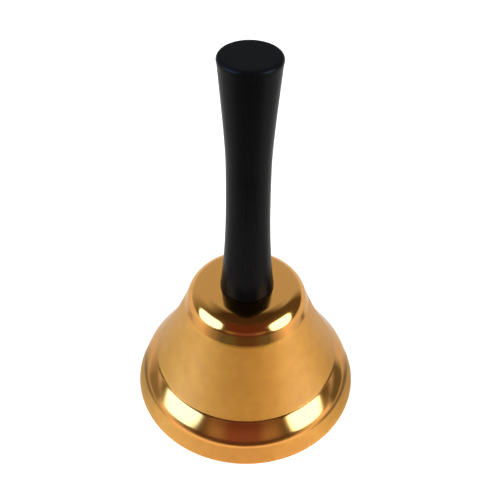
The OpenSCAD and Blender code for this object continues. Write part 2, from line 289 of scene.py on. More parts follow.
# Black lacquer on close-grained wood: nearly black with a low sheen, long fine pores just felt through the
# lacquer, and a flat top that is duller, because the end grain drinks the lacquer.
PORES_PER_MM, ALONG_GRAIN = 1.4, 0.05
TOP_DULLNESS, TOP_DULL_FROM, TOP_DULL_BY = 0.6, 0.5, 0.2
black_lacquer, tree, shader = new_finish("black_lacquered_wood", {"Specular IOR Level": 0.06, "IOR": 1.5})
place = add(tree, "TexCoord").outputs["Object"]
drawn_out = add(tree, "Mapping", {"Vector": place, "Scale": (1.0, 1.0, ALONG_GRAIN)}).outputs[0]
grain = add(tree, "TexNoise", {"Vector": drawn_out, "Scale": PORES_PER_MM / MM, "Detail": 4.0}).outputs["Fac"]
tree.links.new(add(tree, "Mix", {0: grain, 6: colour("08080A"), 7: colour("0E0E10")},
                   data_type="RGBA").outputs[2], shader.inputs["Base Color"])
sheen = add(tree, "MapRange", {"Value": grain, "To Min": 0.24, "To Max": 0.34}).outputs[0]
end_grain = add(tree, "MapRange", {"Value": add(tree, "SeparateXYZ", {0: place}).outputs["Z"],
                                   "From Min": (SHELL_H + HANDLE_L - TOP_DULL_FROM) * MM,
                                   "From Max": (SHELL_H + HANDLE_L - TOP_DULL_BY) * MM}).outputs[0]
tree.links.new(add(tree, "Mix", {0: end_grain, 2: sheen, 3: TOP_DULLNESS}).outputs[0],
               shader.inputs["Roughness"])
bump = add(tree, "Bump", {"Height": grain, "Strength": 0.12, "Distance": 0.03 * MM})
tree.links.new(bump.outputs[0], shader.inputs["Normal"])
handle.data.materials.append(black_lacquer)
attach(handle, "bell")
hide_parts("handle")


# The threaded insert: a brass bush glued into the handle's foot, which the screw pulls on. Only its lower end
# could be seen with the bell apart, so it keeps its plain form.
MARKS_PER_MM, ROUND_THE_PIECE = 2.5, 0.05
machined_brass, tree, shader = new_finish("machined_brass", {"Metallic": 1.0})
place = add(tree, "TexCoord").outputs["Object"]
drawn_out = add(tree, "Mapping", {
    "Vector": place, "Scale": (ROUND_THE_PIECE, ROUND_THE_PIECE, 1.0)}).outputs[0]
tool_marks = add(tree, "TexNoise", {
    "Vector": drawn_out, "Scale": MARKS_PER_MM / MM, "Detail": 3.0}).outputs["Fac"]
tree.links.new(add(tree, "Mix", {0: tool_marks, 6: colour("E2B163"), 7: colour("C08A42")},
                   data_type="RGBA").outputs[2], shader.inputs["Base Color"])
tree.links.new(add(tree, "MapRange", {"Value": tool_marks, "To Min": 0.2, "To Max": 0.35}).outputs[0],
               shader.inputs["Roughness"])
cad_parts["threaded_insert"].data.materials.clear()
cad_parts["threaded_insert"].data.materials.append(machined_brass)


# The washer under the crown: stamped steel, zinc-plated, its edges rounded in the plating drum. It spreads
# the hanger's pull over the thin brass.
CROWN_WASHER_R, CROWN_WASHER_T, DRUM_EDGE, CORNER_STEPS = 9.0, 1.2, 0.15, 4
CROWN_IN_Z = SHELL_H - WALL
WASHER_Z = CROWN_IN_Z - CROWN_WASHER_T


def soften(points, radius, closed=True):
    """The outline with every sharp corner cut round to this radius, as a file or a wheel leaves it."""
    made = []
    for i, corner in enumerate(points):
        corner = Vector(corner)
        if not closed and i in (0, len(points) - 1):
            made.append(corner)
            continue
        to_last = Vector(points[i - 1]) - corner
        to_next = Vector(points[(i + 1) % len(points)]) - corner
        turn = math.pi - to_last.angle(to_next)
        cut = min(radius * math.tan(turn / 2), to_last.length * 0.45, to_next.length * 0.45)
        first, last = corner + to_last.normalized() * cut, corner + to_next.normalized() * cut
        made += [bend(first, corner, last, k / CORNER_STEPS) for k in range(CORNER_STEPS + 1)]
    return made


crown_washer = turn_piece("crown_washer_plated", soften([
    (SCREW_HOLE_R, WASHER_Z), (CROWN_WASHER_R, WASHER_Z),
    (CROWN_WASHER_R, CROWN_IN_Z), (SCREW_HOLE_R, CROWN_IN_Z)], DRUM_EDGE), closed=True, steps=128)

# Zinc plate: cold pale grey with faint blue and straw clouds and a fine frost, which spreads the lights
# softly.
FROST_GRAIN, ZINC_CLOUD = 0.25, 4.0
zinc_plate, tree, shader = new_finish("zinc_plated_steel", {"Metallic": 1.0})
place = add(tree, "TexCoord").outputs["Object"]
cloud = add(tree, "TexNoise", {"Vector": place, "Scale": 1 / (ZINC_CLOUD * MM), "Detail": 3.0}).outputs["Fac"]
frost = add(tree, "TexNoise", {
    "Vector": place, "Scale": 1 / (FROST_GRAIN * MM), "Detail": 3.0}).outputs["Fac"]
tint = add(tree, "ValToRGB", {0: cloud})
for end, spot, shade in zip(tint.color_ramp.elements, (0.3, 0.7), ("B4BCC6", "C9C6B8")):
    end.position, end.color = spot, colour(shade)
tree.links.new(tint.outputs[0], shader.inputs["Base Color"])
tree.links.new(add(tree, "MapRange", {"Value": frost, "To Min": 0.24, "To Max": 0.42}).outputs[0],
               shader.inputs["Roughness"])
bump = add(tree, "Bump", {"Height": frost, "Strength": 0.25, "Distance": 0.02 * MM})
tree.links.new(bump.outputs[0], shader.inputs["Normal"])
crown_washer.data.materials.append(zinc_plate)
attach(crown_washer, "bell")
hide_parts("crown_washer")


# The hanger: a strap of steel, punched, bent to an upside-down U and zinc-plated. Its round leg ends carry
# the pin, and the screw clamps its web against the crown's washer. A solid that cuts it reaches PAST its
# faces.
STRAP_T, STRAP_W, LEG_GAP, BEND_R, SHEAR_EDGE = 1.2, 9.0, 10.4, 0.7, 0.14
WEB_Z, PIN_Z, PIN_R = WASHER_Z - STRAP_T, 34.6, 1.5
PAST = 1.0


def press_piece(name, outline, start, end, along="X"):
    """A solid with this outline in mm, from start to end along X or Y."""
    places = [Vector((start, p[0], p[1])) if along == "X" else Vector((p[0], start, p[1])) for p in outline]
    piece = trace(name, places + places[:1])
    bpy.ops.mesh.remove_doubles(threshold=SEAM_GAP * MM)
    bpy.ops.mesh.edge_face_add()
    reach = (end - start) * MM
    bpy.ops.mesh.extrude_region_move(
        TRANSFORM_OT_translate={"value": (reach, 0, 0) if along == "X" else (0, reach, 0)})
    close_skin(30)
    return piece


def plug(name, radius, low, high, **ways):
    """A plain round bar, to cut a hole or to join on."""
    return turn_piece(name, [(0, low), (radius, low), (radius, high), (0, high)], **ways)


def combine(piece, other, operation):
    """Joins the other solid to the piece, cuts it out of it, or keeps what they share."""
    bpy.ops.object.select_all(action="DESELECT")
    bpy.context.view_layer.objects.active = piece
    piece.select_set(True)
    bpy.ops.object.modifier_add(type="BOOLEAN")
    cut = piece.modifiers[-1]
    cut.operation, cut.solver, cut.object = operation, "EXACT", other
    bpy.ops.object.modifier_apply(modifier=cut.name)
    bpy.data.objects.remove(other, do_unlink=True)


def ease_edges(piece, width, smooth_angle=35):
    """Rounds every sharp edge of the piece a little and keeps its flats flat to the eye."""
    bpy.ops.object.select_all(action="DESELECT")
    bpy.context.view_layer.objects.active = piece
    piece.select_set(True)
    if width:
        bpy.ops.object.modifier_add(type="BEVEL")
        bevel = piece.modifiers[-1]
        bevel.width, bevel.segments, bevel.limit_method = width * MM, 2, "ANGLE"
        bevel.angle_limit = math.radians(30)
        bpy.ops.object.modifier_apply(modifier=bevel.name)
    bpy.ops.object.shade_smooth_by_angle(angle=math.radians(smooth_angle))
    bpy.ops.object.modifier_add(type="WEIGHTED_NORMAL")
    piece.modifiers[-1].keep_sharp = True
    bpy.ops.object.modifier_apply(modifier=piece.modifiers[-1].name)


leg_out, leg_in, leg_foot = LEG_GAP / 2 + STRAP_T, LEG_GAP / 2, PIN_Z - STRAP_W / 2 - PAST
outer_r = BEND_R + STRAP_T
strap = (
    [(-leg_out, leg_foot)]
    + round_edge((outer_r - leg_out, WASHER_Z - outer_r), outer_r, 180, 90, 12)
    + round_edge((leg_out - outer_r, WASHER_Z - outer_r), outer_r, 90, 0, 12)
    + [(leg_out, leg_foot), (leg_in, leg_foot)]
    + round_edge((leg_in - BEND_R, WEB_Z - BEND_R), BEND_R, 0, 90, 12)
    + round_edge((BEND_R - leg_in, WEB_Z - BEND_R), BEND_R, 90, 180, 12)
    + [(-leg_in, leg_foot)])
clapper_hanger = press_piece("clapper_hanger_plated", strap, -STRAP_W / 2 - PAST, STRAP_W / 2 + PAST)
leg_shape = (round_edge((0, PIN_Z), STRAP_W / 2, 180, 360, 48)
             + [(STRAP_W / 2, SHELL_H), (-STRAP_W / 2, SHELL_H)])
combine(clapper_hanger, press_piece("leg_shape", leg_shape, -leg_out - PAST, leg_out + PAST, along="Y"),
        "INTERSECT")
combine(clapper_hanger, plug("pin_hole", PIN_R, -leg_out - PAST, leg_out + PAST,
                             steps=64, about="Y", height=PIN_Z), "DIFFERENCE")
combine(clapper_hanger, plug("screw_hole", SCREW_HOLE_R, WEB_Z - PAST, WASHER_Z + PAST, steps=64),
        "DIFFERENCE")
ease_edges(clapper_hanger, SHEAR_EDGE)
clapper_hanger.data.materials.append(zinc_plate)
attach(clapper_hanger, "bell")
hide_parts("clapper_hanger")


# The spring washer: square steel wire coiled to one turn, cut through aslant, zinc-plated, and pressed flat
# by the screw's head.
SPRING_R, SPRING_T, SPRING_EDGE = 4.45, 1.2, 0.1
SPRING_SLIT, SLIT_LEAN, SLIT_PAST = 0.8, 0.3, 0.5
HEAD_TOP_Z = WEB_Z - SPRING_T
spring_washer = turn_piece("spring_washer_plated", soften([
    (SCREW_HOLE_R, HEAD_TOP_Z), (SPRING_R, HEAD_TOP_Z), (SPRING_R, WEB_Z), (SCREW_HOLE_R, WEB_Z)],
    SPRING_EDGE), closed=True, steps=96)
slit_low, slit_high = HEAD_TOP_Z - SLIT_PAST, WEB_Z + SLIT_PAST
slit = [(-SPRING_SLIT / 2 - SLIT_LEAN, slit_low), (SPRING_SLIT / 2 - SLIT_LEAN, slit_low),
        (SPRING_SLIT / 2 + SLIT_LEAN, slit_high), (-SPRING_SLIT / 2 + SLIT_LEAN, slit_high)]
combine(spring_washer, press_piece("slit", slit, 1, SPRING_R + PAST), "DIFFERENCE")
ease_edges(spring_washer, 0)
spring_washer.data.materials.append(zinc_plate)
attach(spring_washer, "bell")
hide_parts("spring_washer")


# The hanger screw: a hex-head machine screw, cold-headed, its thread rolled, and zinc-plated. It pulls
# handle, shell, washer and hanger together from inside the bell.
SCREW_R, SCREW_L, SCREW_PITCH = 2.5, 25.0, 0.8
HEAD_FLATS, HEAD_H, HEX_CHAMFER, HEX_EDGE, CONE_PAST, BORE_CHAMFER = 8.0, 3.5, 0.4, 0.12, 0.5, 0.25
THREAD_DEPTH, TURN_GAP, THREAD_CUT = 0.58, 0.001, 0.0005
CREST_UNDER, PLAIN_UNDER, POINT_PAST = 0.02, 0.1, 1.1
HEAD_Z = HEAD_TOP_Z - HEAD_H


def hexagon(name, flats, low, high, hole_r=0.0):
    """A six-sided head or nut, the corners of its lower end turned off to a cone."""
    corner = flats / 2 / math.cos(math.radians(30))
    bpy.ops.object.select_all(action="DESELECT")
    bpy.ops.mesh.primitive_cylinder_add(vertices=6, radius=corner * MM, depth=(high - low + 2 * PAST) * MM,
                                        location=(0, 0, (low + high) / 2 * MM),
                                        rotation=(0, 0, math.radians(30)))
    piece = bpy.context.object
    piece.name = name
    bpy.ops.object.transform_apply(location=True, rotation=True, scale=True)
    ease_edges(piece, HEX_EDGE)
    slope = HEX_CHAMFER / (corner - flats / 2)
    blank = [(flats / 2, low), (corner + CONE_PAST, low + HEX_CHAMFER + CONE_PAST * slope),
             (corner + CONE_PAST, high)]
    if hole_r:
        blank = [(hole_r, high), (hole_r, low + BORE_CHAMFER), (hole_r + BORE_CHAMFER, low)] + blank
    else:
        blank = [(0, low)] + blank + [(0, high)]
    combine(piece, turn_piece("blank", blank, closed=bool(hole_r), steps=96), "INTERSECT")
    ease_edges(piece, 0, smooth_angle=28)
    return piece


def thread(name, crest, pitch, low, high):
    """A length of rolled thread in mm, with its lower end chamfered."""
    root = crest - THREAD_DEPTH * pitch
    ridge = [Vector((radius, 0, share * pitch)) + Vector((0, 0, low - pitch)) for radius, share in (
        (root, 0), (root, 0.12), (crest, 0.44), (crest, 0.56), (root, 0.88), (root, 1))]
    piece = trace(name, ridge)
    bpy.ops.object.mode_set(mode="OBJECT")
    bpy.ops.object.modifier_add(type="SCREW")
    turns = piece.modifiers[-1]
    turns.screw_offset, turns.iterations = pitch * MM, math.ceil((high - low) / pitch) + 2
    turns.steps = turns.render_steps = 48
    turns.use_merge_vertices, turns.merge_threshold = True, TURN_GAP * MM
    bpy.ops.object.modifier_apply(modifier=turns.name)
    bpy.ops.object.mode_set(mode="EDIT")
    bpy.ops.mesh.select_all(action="SELECT")
    bpy.ops.mesh.remove_doubles(threshold=SEAM_GAP * MM)
    for end, away in ((low, -1), (high, 1)):
        bpy.ops.mesh.select_all(action="SELECT")
        bpy.ops.mesh.bisect(plane_co=(0, 0, end * MM), plane_no=(0, 0, away), use_fill=True, clear_outer=True,
                            threshold=THREAD_CUT * MM)
    close_skin(30)
    wide = crest + POINT_PAST
    point = [(0, low - PAST), (root - 0.1, low - 0.1), (wide, low + wide - root), (wide, high + PAST),
             (0, high + PAST)]
    combine(piece, turn_piece("point", point, steps=64), "INTERSECT")
    return piece


hanger_screw = hexagon("hanger_screw_plated", HEAD_FLATS, HEAD_Z, HEAD_TOP_Z)
combine(hanger_screw, plug("plain_end", SCREW_R - PLAIN_UNDER, HEAD_TOP_Z - PAST, WASHER_Z, steps=64),
        "UNION")
combine(hanger_screw, thread("screw_thread", SCREW_R - CREST_UNDER, SCREW_PITCH, WEB_Z, HEAD_TOP_Z + SCREW_L),
        "UNION")
ease_edges(hanger_screw, 0, smooth_angle=28)
hanger_screw.data.materials.append(zinc_plate)
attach(hanger_screw, "bell")
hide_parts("hanger_screw")


# The pin: a steel rivet through both legs and the clapper's eye, its two ends hammered to low domes.
RIVET_R, RIVET_H = 2.6, 1.1
dome_r = (RIVET_R ** 2 + RIVET_H ** 2) / (2 * RIVET_H)
dome_turn = math.degrees(math.asin(RIVET_R / dome_r))
far_dome = round_edge((0, leg_out + RIVET_H - dome_r), dome_r, 90 - dome_turn, 90, 16)
near_dome = [Vector((p.x, -p.y)) for p in far_dome[::-1]]
hanger_pin = turn_piece("hanger_pin_steel", near_dome + [Vector((PIN_R, -leg_out)), Vector((PIN_R, leg_out))]
                        + far_dome, steps=96, about="Y", height=PIN_Z)

# Bright steel, drawn and a little oily: smooth, darker than the zinc, with fine upright lines.
OIL_FILM, DRAWN_LINE, ALONG_LINE = 2.5, 0.2, 0.05
bright_steel, tree, shader = new_finish("bright_drawn_steel", {"Metallic": 1.0})
place = add(tree, "TexCoord").outputs["Object"]
film = add(tree, "TexNoise", {"Vector": place, "Scale": 1 / (OIL_FILM * MM), "Detail": 4.0}).outputs["Fac"]
tree.links.new(add(tree, "Mix", {0: film, 6: colour("A9A8A6"), 7: colour("8B8781")},
                   data_type="RGBA").outputs[2], shader.inputs["Base Color"])
tree.links.new(add(tree, "MapRange", {"Value": film, "To Min": 0.16, "To Max": 0.32}).outputs[0],
               shader.inputs["Roughness"])
drawn_out = add(tree, "Mapping", {"Vector": place, "Scale": (1.0, 1.0, ALONG_LINE)}).outputs[0]
lines = add(tree, "TexNoise", {
    "Vector": drawn_out, "Scale": 1 / (DRAWN_LINE * MM), "Detail": 2.0}).outputs["Fac"]
bump = add(tree, "Bump", {"Height": lines, "Strength": 0.2, "Distance": 0.01 * MM})
tree.links.new(bump.outputs[0], shader.inputs["Normal"])
hanger_pin.data.materials.append(bright_steel)
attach(hanger_pin, "bell")
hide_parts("hanger_pin")


# The bush: a sleeve of brass pressed into the clapper's eye. It turns on the pin and keeps the clapper in the
# middle between the legs.
BUSH_R, BUSH_BORE_R, BUSH_HALF, BUSH_EDGE = 2.5, 1.55, 5.0, 0.2
pivot_bush = turn_piece("pivot_bush_brass", soften([
    (BUSH_BORE_R, -BUSH_HALF), (BUSH_R, -BUSH_HALF),
    (BUSH_R, BUSH_HALF), (BUSH_BORE_R, BUSH_HALF)], BUSH_EDGE),
    closed=True, steps=96, about="Y", height=PIN_Z)
pivot_bush.data.materials.append(machined_brass)
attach(pivot_bush, "clapper")
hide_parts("pivot_bush")


# The clapper's rod: bright steel, forged to an eye at the top and turned down below to a shoulder and a
# threaded end, which carries the ball.
EYE_R, EYE_HALF, EYE_EDGE, ROD_R, ROD_THREAD_R, ROD_PITCH = 4.0, 3.0, 0.45, 2.4, 2.0, 0.7
NECK_R, NECK_LOW, NECK_HIGH, NECK_SWELL, SHANK_EDGE = 2.9, PIN_Z - 7.0, PIN_Z - 3.4, 2.5, 0.1
BALL_R, BALL_LIFT, SHOULDER_SINK = 9.5, 2.0, 0.3
NUT_FLATS, NUT_H, NUT_SINK, TIP_PAST_NUT = 7.0, 3.2, 0.6, 0.3
BALL_Z, NUT_Z = BALL_LIFT + BALL_R, BALL_LIFT + NUT_SINK
SHOULDER_Z = BALL_Z + math.sqrt(BALL_R ** 2 - ROD_R ** 2) - SHOULDER_SINK
clapper_rod = turn_piece("clapper_rod_steel", soften([
    (0, -EYE_HALF), (EYE_R, -EYE_HALF), (EYE_R, EYE_HALF), (0, EYE_HALF)], EYE_EDGE, closed=False),
    steps=96, about="Y", height=PIN_Z)
neck_curve = [(ROD_R + (NECK_R - ROD_R) * (i / 12) ** NECK_SWELL, NECK_LOW + (NECK_HIGH - NECK_LOW) * i / 12)
              for i in range(13)]
shank = turn_piece("shank", [
    (0, SHOULDER_Z), (ROD_R - SHANK_EDGE, SHOULDER_Z), (ROD_R, SHOULDER_Z + SHANK_EDGE)]
    + neck_curve + [(NECK_R, PIN_Z), (0, PIN_Z)], steps=96)
combine(clapper_rod, shank, "UNION")
combine(clapper_rod, thread("rod_thread", ROD_THREAD_R - CREST_UNDER, ROD_PITCH, NUT_Z - TIP_PAST_NUT,
                            SHOULDER_Z + PAST), "UNION")
combine(clapper_rod, plug("eye_bore", BUSH_R, -EYE_HALF - PAST, EYE_HALF + PAST,
                          steps=96, about="Y", height=PIN_Z), "DIFFERENCE")
ease_edges(clapper_rod, 0, smooth_angle=32)
clapper_rod.data.materials.append(bright_steel)
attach(clapper_rod, "clapper")
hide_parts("clapper_rod")


# The ball: solid brass, turned from the bar, drilled for the rod and recessed below for the nut. It strikes
# the shell with its left and right sides.
RECESS_ROOM = 0.3
RECESS_R = NUT_FLATS / 2 / math.cos(math.radians(30)) + RECESS_ROOM
recess_turn = math.degrees(math.asin(RECESS_R / BALL_R))
seat_turn = math.degrees(math.asin(ROD_R / BALL_R))
recess = [Vector((ROD_THREAD_R, NUT_Z + NUT_H)), Vector((RECESS_R, NUT_Z + NUT_H))]
ball_skin = round_edge((0, BALL_Z), BALL_R, recess_turn - 90, 90 - seat_turn, 96)
seat = [Vector((ROD_R, SHOULDER_Z)), Vector((ROD_THREAD_R, SHOULDER_Z))]
clapper_ball = turn_piece("clapper_ball_brass", recess + ball_skin + seat, closed=True, steps=192)

# Turned brass without lacquer: browner than the shell, with rings of the lathe tool and two spots beaten
# bright and dented where it strikes. The spots' edges are ragged.
STRIKE_SPOT, SPOT_RAGGED, DENT_SIZE, TOOL_RINGS, BALL_STAIN = 2.8, 3.0, 0.8, 0.35, 6.0
struck_brass, tree, shader = new_finish("turned_brass_struck", {
    "Metallic": 1.0, "Anisotropic": 0.35, "Anisotropic Rotation": 0.25})
place = add(tree, "TexCoord").outputs["Object"]
film = add(tree, "TexNoise", {"Vector": place, "Scale": 1 / (BALL_STAIN * MM), "Detail": 5.0}).outputs["Fac"]
aside = add(tree, "VectorMath", {0: place}, operation="ABSOLUTE").outputs[0]
from_spot = add(tree, "VectorMath", {
    0: aside, 1: (BALL_R * MM, 0, BALL_Z * MM)}, operation="DISTANCE").outputs["Value"]
ragged = add(tree, "Math", {0: film, 1: SPOT_RAGGED * MM}, operation="MULTIPLY").outputs[0]
from_spot = add(tree, "Math", {0: from_spot, 1: ragged}, operation="ADD").outputs[0]
beaten = add(tree, "MapRange", {
    "Value": from_spot, "From Min": STRIKE_SPOT * MM * 0.8, "From Max": STRIKE_SPOT * MM * 1.3,
    "To Min": 1.0, "To Max": 0.0}).outputs[0]
base = add(tree, "Mix", {0: film, 6: colour("D09A4E"), 7: colour("A9742F")}, data_type="RGBA").outputs[2]
tree.links.new(add(tree, "Mix", {0: beaten, 6: base, 7: colour("E0B463")}, data_type="RGBA").outputs[2],
               shader.inputs["Base Color"])
rough = add(tree, "MapRange", {"Value": film, "To Min": 0.2, "To Max": 0.38}).outputs[0]
tree.links.new(add(tree, "Mix", {0: beaten, 2: rough, 3: 0.3}).outputs[0], shader.inputs["Roughness"])
drawn_out = add(tree, "Mapping", {"Vector": place, "Scale": (0.03, 0.03, 1.0)}).outputs[0]
rings = add(tree, "TexNoise", {
    "Vector": drawn_out, "Scale": 1 / (TOOL_RINGS * MM), "Detail": 2.0}).outputs["Fac"]
dents = add(tree, "TexVoronoi", {"Vector": place, "Scale": 1 / (DENT_SIZE * MM)}).outputs["Distance"]
relief = add(tree, "Mix", {0: beaten, 2: rings, 3: dents}).outputs[0]
bump = add(tree, "Bump", {"Height": relief, "Strength": 0.3, "Distance": 0.03 * MM})
tree.links.new(bump.outputs[0], shader.inputs["Normal"])
tree.links.new(add(tree, "Tangent", direction_type="RADIAL", axis="Z").outputs[0], shader.inputs["Tangent"])
clapper_ball.data.materials.append(struck_brass)
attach(clapper_ball, "clapper")
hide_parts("clapper_ball")


# The nut: zinc-plated steel, sunk in the underside of the ball, where it holds the ball up against the rod's
# shoulder.
clapper_nut = hexagon("clapper_nut_plated", NUT_FLATS, NUT_Z, NUT_Z + NUT_H, hole_r=ROD_THREAD_R)
clapper_nut.data.materials.append(zinc_plate)
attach(clapper_nut, "clapper")
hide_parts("clapper_nut")


# Floor: a pale sweep of paper that keeps the bell's shadow. To the camera it glows white. The metal sees it
# darker, with a painted pool of warm light in front of the bell, for the light the brass throws back onto the
# paper, and painted light under the mouth, which the inside of the shell mirrors. Far out it is plain white,
# and from beneath the camera looks through it.
GLOW_TO_CAMERA, GLOW_IN_METAL = (0.75, 0.75, 0.75, 1), (0.36, 0.35, 0.33, 1)
# Painted light in the metal: a warm pool in front of the bell and a bright patch under its mouth.
PAINTED_WARM_POOL, PAINTED_LIGHT_UNDER_BELL = (0.62, 0.5, 0.42, 1), (0.8, 0.8, 0.8, 1)
WARM_FROM_Y, WARM_BY_Y, MOUTH_WITHIN_R, MOUTH_BEYOND_R, PLAIN_FROM_R, PLAIN_BY_R = -20, -45, 38, 39, 350, 800
bpy.ops.mesh.primitive_plane_add(size=8, location=(0, 0, 0))
floor = bpy.context.object
floor.name = "studio_floor"
paper, tree, shader = new_finish("studio_paper", {
    "Base Color": colour("DCDBD9"), "Roughness": 0.9, "Specular IOR Level": 0.1})
rays = add(tree, "LightPath").outputs
in_metal = add(tree, "Math", {
    0: rays["Is Glossy Ray"], 1: rays["Is Transmission Ray"]}, operation="MAXIMUM").outputs[0]
seen = add(tree, "Math", {0: rays["Is Camera Ray"], 1: in_metal}, operation="MAXIMUM").outputs[0]
place = add(tree, "TexCoord").outputs["Object"]
out = add(tree, "VectorMath", {0: place}, operation="LENGTH").outputs["Value"]
forwards = add(tree, "MapRange", {"Value": add(tree, "SeparateXYZ", {0: place}).outputs["Y"],
                                  "From Min": WARM_FROM_Y * MM, "From Max": WARM_BY_Y * MM}).outputs[0]
# Painted light: the warm pool on the paper in front of the bell.
metal_glow = add(tree, "Mix", {0: forwards, 6: GLOW_IN_METAL, 7: PAINTED_WARM_POOL}, data_type="RGBA").outputs[2]
# Painted light: the paper under the mouth is brighter.
beyond = add(tree, "MapRange", {
    "Value": out, "From Min": MOUTH_WITHIN_R * MM, "From Max": MOUTH_BEYOND_R * MM}).outputs[0]
metal_glow = add(tree, "Mix", {0: beyond, 6: PAINTED_LIGHT_UNDER_BELL, 7: metal_glow}, data_type="RGBA").outputs[2]
glow = add(tree, "Mix", {0: in_metal, 6: GLOW_TO_CAMERA, 7: metal_glow}, data_type="RGBA").outputs[2]
white = add(tree, "Emission", {"Color": glow, "Strength": 1.0}).outputs[0]
near = add(tree, "AddShader", {0: shader.outputs[0], 1: white}).outputs[0]
plain = add(tree, "Emission", {"Color": grey(1), "Strength": 1.0}).outputs[0]
horizon = add(tree, "MapRange", {
    "Value": out, "From Min": PLAIN_FROM_R * MM, "From Max": PLAIN_BY_R * MM}).outputs[0]
both = add(tree, "MixShader", {0: horizon, 1: near, 2: plain}).outputs[0]
from_above = add(tree, "MixShader", {0: seen, 1: shader.outputs[0], 2: both}).outputs[0]
below = add(tree, "NewGeometry").outputs["Backfacing"]
seen_below = add(tree, "Math", {0: below, 1: rays["Is Camera Ray"]}, operation="MULTIPLY").outputs[0]
clear = add(tree, "BsdfTransparent").outputs[0]
tree.links.new(add(tree, "MixShader", {0: seen_below, 1: from_above, 2: clear}).outputs[0],
               tree.nodes["Material Output"].inputs["Surface"])
floor.data.materials.append(paper)

# Cloth hung round and over the set, which only the metal sees, and which gives polished brass its dark bands.
# Low in front it is red-brown with a tan fold to either side, above and at its foot there darker, olive at
# the sides, nearly black overhead and pale behind.
CLOTH_R = 3.0
RED_BROWN, TAN, OLIVE, PALE = (0.35, 0.16, 0.18, 1), (0.52, 0.41, 0.34, 1), (0.13, 0.11, 0.07, 1), (
    0.64, 0.68, 0.7, 1)
HIGH_IN_FRONT, OVERHEAD, FOOT_IN_FRONT = (0.14, 0.05, 0.04, 1), (0.07, 0.05, 0.04, 1), (0.12, 0.055, 0.05, 1)


def by_bearing(tree, place, rest, stops):
    """Shades round the bell's axis, by degrees to the right of the front, with rest straight behind."""
    turned = add(tree, "Mapping", {"Vector": place, "Rotation": (0, 0, math.radians(90))}).outputs[0]
    bearing = add(tree, "TexGradient", {"Vector": turned}, gradient_type="RADIAL").outputs[0]
    shades = add(tree, "ValToRGB", {0: bearing})
    set_stops(shades.color_ramp, rest, [(degrees / 360 + 0.5, shade) for degrees, shade in stops], rest)
    return shades.outputs[0]


def glow_alone(tree, shade, cover=None):
    """Lets a sheet glow in this shade and be clear where it doesn't cover."""
    made = add(tree, "Emission", {"Color": shade, "Strength": 1.0}).outputs[0]
    if cover is not None:
        clear = add(tree, "BsdfTransparent").outputs[0]
        made = add(tree, "MixShader", {0: cover, 1: clear, 2: made}).outputs[0]
    tree.links.new(made, tree.nodes["Material Output"].inputs["Surface"])


bpy.ops.mesh.primitive_uv_sphere_add(segments=64, ring_count=32, radius=CLOTH_R, location=(0, 0, 0))
cloth = bpy.context.object
cloth.name = "studio_cloth"
bpy.ops.object.mode_set(mode="EDIT")
bpy.ops.mesh.select_all(action="SELECT")
bpy.ops.mesh.bisect(plane_co=(0, 0, 0), plane_no=(0, 0, 1), clear_inner=True)
bpy.ops.object.mode_set(mode="OBJECT")
hung_cloth, tree, shader = new_finish("studio_hung_cloth", {})
way = add(tree, "VectorMath", {0: add(tree, "TexCoord").outputs["Object"]}, operation="NORMALIZE").outputs[0]
sides = add(tree, "SeparateXYZ", {0: way}).outputs
shade = by_bearing(tree, way, PALE, (
    (-125, PALE), (-90, OLIVE), (-40, OLIVE), (-31, TAN), (-23, TAN), (-15, RED_BROWN), (13, RED_BROWN),
    (20, TAN), (29, TAN), (38, OLIVE), (120, OLIVE), (132, PALE)))
high = add(tree, "MapRange", {"Value": sides["Z"], "From Min": 0.24, "From Max": 0.4}).outputs[0]
overhead = add(tree, "MapRange", {"Value": sides["Z"], "From Min": 0.8, "From Max": 0.93}).outputs[0]
foot = add(tree, "MapRange", {"Value": sides["Z"], "From Min": 0.28, "From Max": 0.1}).outputs[0]
front = add(tree, "MapRange", {"Value": sides["Y"], "From Min": -0.1, "From Max": -0.5}).outputs[0]
high_front = add(tree, "Math", {0: high, 1: front}, operation="MULTIPLY").outputs[0]
foot_front = add(tree, "Math", {0: foot, 1: front}, operation="MULTIPLY").outputs[0]
for part, dark in ((high_front, HIGH_IN_FRONT), (overhead, OVERHEAD), (foot_front, FOOT_IN_FRONT)):
    shade = add(tree, "Mix", {0: part, 6: shade, 7: dark}, data_type="RGBA").outputs[2]
glow_alone(tree, shade)
cloth.data.materials.append(hung_cloth)

# Dark cloth lies on the table too, which only the metal sees: a wide apron in front of the bell, and close to
# it on either side a small patch of painted shadow, the bell's own shadow on the table. They darken the foot
# of what the band mirrors.
APRON_WIDE, APRON_Z = 5.8, 0.001
APRON_FROM_R, APRON_FULL_R, APRON_FADE_R, APRON_END_R = 0.085, 0.12, 2.8, 2.9
